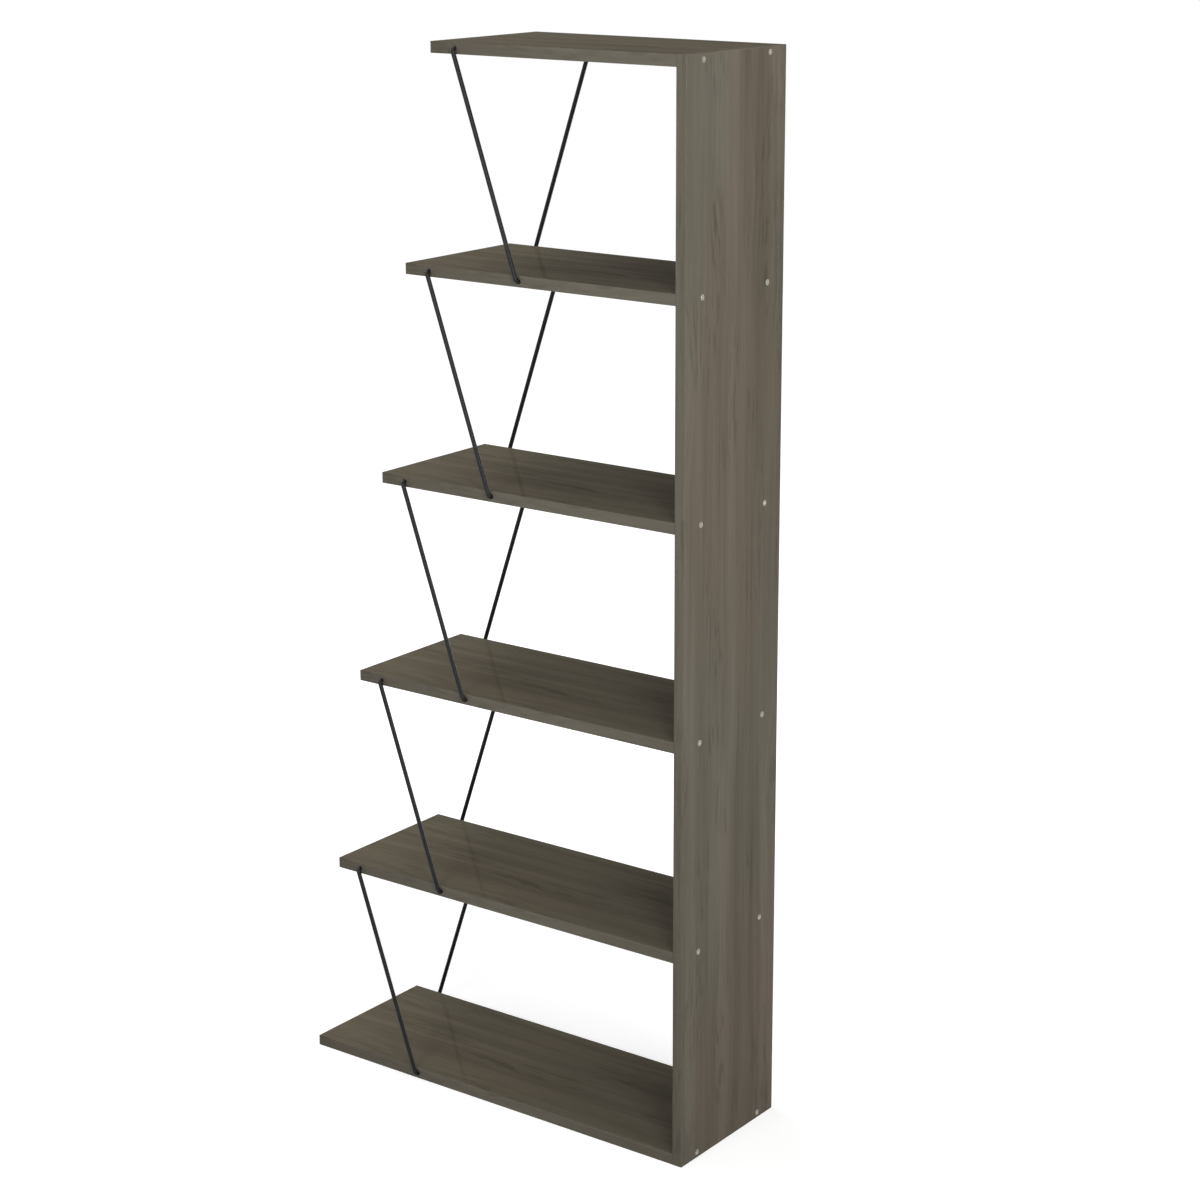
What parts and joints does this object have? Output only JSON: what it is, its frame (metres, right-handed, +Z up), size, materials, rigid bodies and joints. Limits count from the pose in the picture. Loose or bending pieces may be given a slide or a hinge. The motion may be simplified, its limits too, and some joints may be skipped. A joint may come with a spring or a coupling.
{
  "type": "zigzag bookshelf",
  "caption": "Open bookshelf with boards of stepped length butted onto one upright side panel, tied at their free ends by slanted black rods front and rear that form a zigzag.",
  "frame": {"origin": "centre of the overall box on the floor", "axes": "+Z up, +X towards the upright side panel, -Y is the front; the rods stand on both sides of the boards"},
  "size_m": [0.65, 0.236, 1.465],
  "materials": {
    "board": "grey-brown oak print, satin",
    "edge_band": "grey-brown oak print, satin",
    "rod": "black powder coat",
    "screw": "zinc plated"
  },
  "bodies": {
    "root": {"side_panel": "board", "bottom_shelf": "board", "second_shelf": "board", "third_shelf": "board", "fourth_shelf": "board", "fifth_shelf": "board", "top_shelf": "board", "side_panel_front_band": "edge_band", "side_panel_rear_band": "edge_band", "side_panel_top_band": "edge_band", "bottom_shelf_front_band": "edge_band", "bottom_shelf_rear_band": "edge_band", "bottom_shelf_end_band": "edge_band", "second_shelf_front_band": "edge_band", "second_shelf_rear_band": "edge_band", "second_shelf_end_band": "edge_band", "third_shelf_front_band": "edge_band", "third_shelf_rear_band": "edge_band", "third_shelf_end_band": "edge_band", "fourth_shelf_front_band": "edge_band", "fourth_shelf_rear_band": "edge_band", "fourth_shelf_end_band": "edge_band", "fifth_shelf_front_band": "edge_band", "fifth_shelf_rear_band": "edge_band", "fifth_shelf_end_band": "edge_band", "top_shelf_front_band": "edge_band", "top_shelf_rear_band": "edge_band", "top_shelf_end_band": "edge_band", "front_rod_1": "rod", "rear_rod_1": "rod", "front_rod_2": "rod", "rear_rod_2": "rod", "front_rod_3": "rod", "rear_rod_3": "rod", "front_rod_4": "rod", "rear_rod_4": "rod", "front_rod_5": "rod", "rear_rod_5": "rod", "panel_screws": "screw"}
  },
  "joints": []
}
